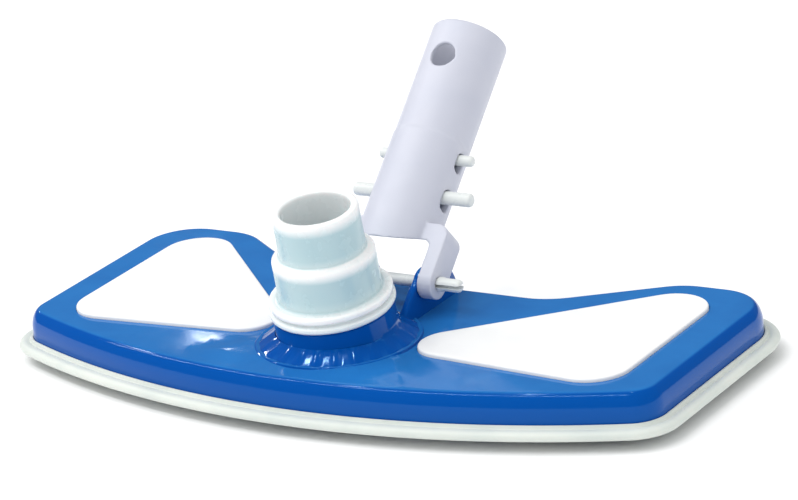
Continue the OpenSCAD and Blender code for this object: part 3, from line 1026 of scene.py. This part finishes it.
def build_ring():
    points = [(15.9, 13.6), (22.9, 13.6), (23.4, 14.4), (23.35, 15.6), (22.4, 16.05)]
    points += [(21.5, 16.3), (21.2, 16.9), (21.3, 17.38), (15.9, 17.38)]
    radii = [0.2, 0.5, 0.6, 0.6, 0.3, 0.2, 0.2, 0.1, 0.2]
    profile = round_corner(points, radii, 4)
    shape = Shape()
    shape.lathe(on_neck, profile, 96, True, [0.75] * len(profile))
    shape.piece("snap_ring", "swivel", ["swivel_retaining_ring"], CUFF, 40)


# ---------------------------------------------------------------- the handle
def copy_of(node):
    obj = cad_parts[node].copy()
    obj.data = obj.data.copy()
    obj.parent = None
    for key in list(obj.keys()):
        del obj[key]
    bpy.context.scene.collection.objects.link(obj)
    return obj


def evaluated(obj):
    """The object's mesh with its modifiers applied."""
    graph = bpy.context.evaluated_depsgraph_get()
    return bpy.data.meshes.new_from_object(obj.evaluated_get(graph))


VOXEL = 0.45


def build_handle():
    """The tube and its yoke as one moulding, with every edge softened."""
    tube, yoke = copy_of("handle"), copy_of("handle_yoke")
    join = tube.modifiers.new("join", "BOOLEAN")
    join.operation, join.solver, join.object = "UNION", "EXACT", yoke
    remesh = tube.modifiers.new("remesh", "REMESH")
    remesh.mode, remesh.voxel_size, remesh.use_smooth_shade = "VOXEL", VOXEL * MM, True
    soften = tube.modifiers.new("soften", "SMOOTH")
    soften.factor, soften.iterations = 0.5, 5
    data = evaluated(tube)
    for obj in (tube, yoke):
        bpy.data.objects.remove(obj)
    data.name = "handle_moulding"
    data.materials.clear()
    nodes = ["handle", "handle_yoke"]
    finish_piece(data, "handle_moulding", "handle", nodes, HANDLE, 180)


# ---------------------------------------------------------------- pin and clip
def build_axle_pin():
    """A rod with a domed head on the left and a split, barbed tip on the right."""
    def across(x, y, s):
        return (s, AXLE_Y + x, AXLE_Z + y)

    shape = Shape()
    head = LEG_OUT + 0.4
    rod = [(0.6, -head - 2.2), (2.4, -head - 2.15), (3.4, -head - 1.7), (4.0, -head - 0.9)]
    rod += [(4.0, -head - 0.1), (3.9, -head), (AXLE_R, -head), (AXLE_R, LEG_OUT - 3.4)]
    rod += [(AXLE_R - 0.3, LEG_OUT - 3.2), (0.4, LEG_OUT - 3.2)]
    shape.lathe(across, rod, 40, closed=False)
    for up in (1, -1):
        prong(shape, up)
    shape.piece("split_pin", "head", ["axle_pin"], CLIP, 45)


def prong(shape, up):
    """Half of the split tip: a D-shaped bar with a barb and a rounded end."""
    flat = 0.7
    rings = []
    rows = [(LEG_OUT - 3.3, AXLE_R), (LEG_OUT + 0.3, AXLE_R), (LEG_OUT + 0.5, AXLE_R + 0.5)]
    rows += [(LEG_OUT + 2.0, AXLE_R + 0.5), (LEG_OUT + 3.0, AXLE_R + 0.2)]
    rows += [(LEG_OUT + 8.6, AXLE_R + 0.25), (LEG_OUT + 9.4, AXLE_R - 0.1)]
    rows += [(LEG_OUT + 9.85, AXLE_R - 0.8)]
    for x, r in rows:
        low = math.asin(min(flat / r, 0.95))
        points = []
        for i in range(13):
            a = low + (math.pi - 2 * low) * i / 12
            points.append((x, AXLE_Y + r * math.cos(a), AXLE_Z + up * r * math.sin(a)))
        rings.append(shape.ring(points))
    shape.solid(rings)


CLIP_X = 3.2
CLIP_S = 76
CLIP_HALF_W = 4.0
SPLAY = math.tan(math.radians(8))


def chamfered(u, flat_u, flat_v):
    """An anticlockwise section from -u to u and -1 to 1, with its corners cut off."""
    right = [(flat_u, -1), (u, -flat_v), (u, flat_v), (flat_u, 1)]
    left = [(-a, -b) for a, b in right]
    return right + left


def build_clip_leg(side, sign):
    """A flat spring leg with a long finger pin and a short lock pin, both domed."""
    shape = Shape()
    half_t, top, foot = 0.9, CLIP_S - 0.3, 31.0
    rings = []
    for i in range(9):
        s = foot + (top - foot) * i / 8
        taper = 0.75 if i == 0 else 1.0
        x = CLIP_X + (CLIP_S - s) * SPLAY
        points = []
        for u, v in chamfered(1, 0.7, 0.8):
            points.append(on_handle(sign * (x + u * half_t), v * CLIP_HALF_W * taper, s))
        rings.append(shape.ring(points))
    shape.solid(rings)
    for s, r, tip in ((35, 2.6, 25.5), (51, 2.1, 20.2)):
        start = CLIP_X + (CLIP_S - s) * SPLAY

        def pin(x, y, w, s=s):
            return on_handle(sign * w, x, s + y)

        profile = [(r + 0.5, start), (r + 0.1, start + 1.2), (r, start + 2.0), (r, tip - 1.3)]
        for k in range(1, 6):
            a = math.pi / 2 * k / 6
            profile.append((r - 1.1 * (1 - math.cos(a)), tip - 1.3 * (1 - math.sin(a))))
        profile.append((r - 1.15, tip))
        shape.lathe(pin, profile, 32, closed=False)
    shape.piece(f"{side}_spring_leg", f"{side}_clip", [f"{side}_clip_leg"], CLIP)


def build_clip_bend():
    """The bend that joins the legs, a half ring with its cross wings."""
    shape = Shape()
    n = 20
    rings = []
    for i in range(n + 1):
        a = math.pi * i / n
        section = []
        for u, v in chamfered(0.9, 0.6, 0.75):
            x, s = (CLIP_X + u) * math.cos(a), CLIP_S + (CLIP_X + u) * math.sin(a)
            section.append(on_handle(x, v * CLIP_HALF_W, s))
        rings.append(shape.ring(section))
    shape.solid(rings)

    def wing(u, v, w):
        return on_handle(u, v, CLIP_S + CLIP_X - 0.85 + w)

    shape.prism(wing, [(-1.2, -11.2), (1.2, -11.2), (1.2, 11.2), (-1.2, 11.2)], 1.7, 0.3)
    shape.piece("spring_bend", "handle", ["clip_bend"], CLIP)


def finish_hidden_nodes():
    """The sealed inner pieces keep their CAD solids, with their own finish."""
    finishes = {"swivel_washer": WASHER, "left_weight": WEIGHT, "right_weight": WEIGHT}
    for node, (material, slot) in finishes.items():
        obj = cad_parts[node]
        obj.data.materials.clear()
        obj.data.materials.append(material)


# ---------------------------------------------------------------- stage, light and camera
def build_stage():
    data = bpy.data.meshes.new("floor")
    size = 12.0
    corners = [(-size, -size, 0), (size, -size, 0), (size, size, 0), (-size, size, 0)]
    data.from_pydata([Vector(c) for c in corners], [], [(0, 1, 2, 3)])
    floor = bpy.data.objects.new("floor", data)
    bpy.context.scene.collection.objects.link(floor)
    material, tree, shader = new_material("floor_pale")
    paper = spread(tree, noise(tree, 3, 2), 0, 1)
    colour = mix_colour(tree, paper, (0.97, 0.97, 0.97), (0.95, 0.95, 0.955))
    tree.links.new(colour, shader.inputs["Base Color"])
    shader.inputs["Roughness"].default_value = 0.9
    shader.inputs["Specular IOR Level"].default_value = 0.1
    data.materials.append(material)


AZIMUTH, ELEVATION, ROLL = math.radians(33.25), math.radians(19.83), math.radians(-5.85)
AIM = row((14.9, 22.5, 47.9))
DISTANCE = 1.5425
LENS = 190.8
GLINTS = (-128, -106, -84, -68, -52)  # directions round the neck where the cone glints
CONE_SLOPE = math.radians(34.5)  # of the facets, from cone_and_neck
GLINT_DISTANCE = 1.8
PART_MIDDLE = Vector((0, 0, 0.02))


def camera_axes():
    """The camera's view direction and its level right-hand direction."""
    ca, sa, ce, se = (f(v) for v in (AZIMUTH, ELEVATION) for f in (math.cos, math.sin))
    return Vector((-sa * ce, ca * ce, -se)), Vector((ca, sa, 0))


def mirrored(turn):
    """Where the cone's face at this angle round the neck sends the camera's view."""
    ahead = camera_axes()[0]
    flat = math.sin(CONE_SLOPE)
    n = Vector((flat * math.cos(turn), flat * math.sin(turn), math.cos(CONE_SLOPE)))
    return ahead - 2 * ahead.dot(n) * n


def area_light(name, place, along, size, power, glossy=True):
    """A rectangular lamp aimed at the part; along is the direction of its long side."""
    light = bpy.data.lights.new(name, "AREA")
    light.shape, light.size, light.size_y = "RECTANGLE", size[0], size[1]
    light.energy = power
    obj = bpy.data.objects.new(name, light)
    away = (Vector(place) - PART_MIDDLE).normalized()
    side = Vector(along)
    side = (side - side.dot(away) * away).normalized()
    turn = Matrix((side, away.cross(side), away)).transposed()
    obj.matrix_world = Matrix.Translation(place) @ turn.to_4x4()
    obj.visible_glossy = glossy
    bpy.context.scene.collection.objects.link(obj)


def build_lights():
    """A pale even sky, a soft key lamp and small lamps for the glints; places in metres.

    The sky is dimmer in reflections, so that the shell keeps its colour, and white in view.
    """
    world = bpy.data.worlds.new("studio")
    bpy.context.scene.world = world
    world.use_nodes = True
    tree = world.node_tree
    tree.nodes.clear()
    out = tree.nodes.new("ShaderNodeOutputWorld")
    path = tree.nodes.new("ShaderNodeLightPath")
    result = None
    layers = [(None, (0.98, 0.99, 1), 0.86), ("Is Glossy Ray", (0.9, 0.95, 1), 0.14)]
    for ray, colour, strength in layers + [("Is Camera Ray", (1, 1, 1), 1.0)]:
        layer = tree.nodes.new("ShaderNodeBackground")
        layer.inputs["Color"].default_value = (*colour, 1)
        layer.inputs["Strength"].default_value = strength
        if ray is None:
            result = layer
            continue
        mix = tree.nodes.new("ShaderNodeMixShader")
        tree.links.new(path.outputs[ray], mix.inputs["Fac"])
        tree.links.new(result.outputs[0], mix.inputs[1])
        tree.links.new(layer.outputs[0], mix.inputs[2])
        result = mix
    tree.links.new(result.outputs[0], out.inputs["Surface"])
    area_light("key", (-0.6, -0.9, 2.0), (1, 0, 0), (2.4, 2.4), 7, glossy=False)
    area_light("edge_strip", (-0.72, -0.68, 1.65), (0.83, -0.39, 0.39), (2.5, 0.03), 13)
    for turn in GLINTS:
        place = mirrored(math.radians(turn)) * GLINT_DISTANCE
        area_light("glint", place, (1, 0.2, 0), (0.04, 0.12), 1.0)
    area_light("patch", (-0.868, 1.07, 0.556), (1, 0.8, 0), (0.02, 0.035), 0.025)


def build_camera():
    """The camera at the photograph's viewing angle, with its slight roll."""
    ahead, right = camera_axes()
    up = right.cross(ahead)
    right2 = math.cos(ROLL) * right + math.sin(ROLL) * up
    up2 = -math.sin(ROLL) * right + math.cos(ROLL) * up
    cam = bpy.data.cameras.new("camera")
    cam.lens, cam.sensor_width = LENS, 36
    cam.clip_start, cam.clip_end = 0.05, 50
    obj = bpy.data.objects.new("camera", cam)
    turn = Matrix((right2, up2, -ahead)).transposed()
    obj.matrix_world = Matrix.Translation(AIM - ahead * DISTANCE) @ turn.to_4x4()
    bpy.context.scene.collection.objects.link(obj)
    bpy.context.scene.camera = obj


def build_all():
    build_shell()
    build_bumper()
    rng = random.Random(7)
    for side, sign in (("left", -1), ("right", 1)):
        build_cover(side, sign)
        for kind, (path, length) in strip_paths().items():
            build_strip(side, sign, kind, path, length)
            build_bristles(side, sign, kind, path, length, rng)
        build_screws(side, sign)
        build_clip_leg(side, sign)
    build_cuff()
    build_ring()
    build_handle()
    build_clip_bend()
    build_axle_pin()
    finish_hidden_nodes()
    build_stage()
    build_lights()
    build_camera()


build_all()
bpy.context.scene.view_settings.view_transform = "Standard"
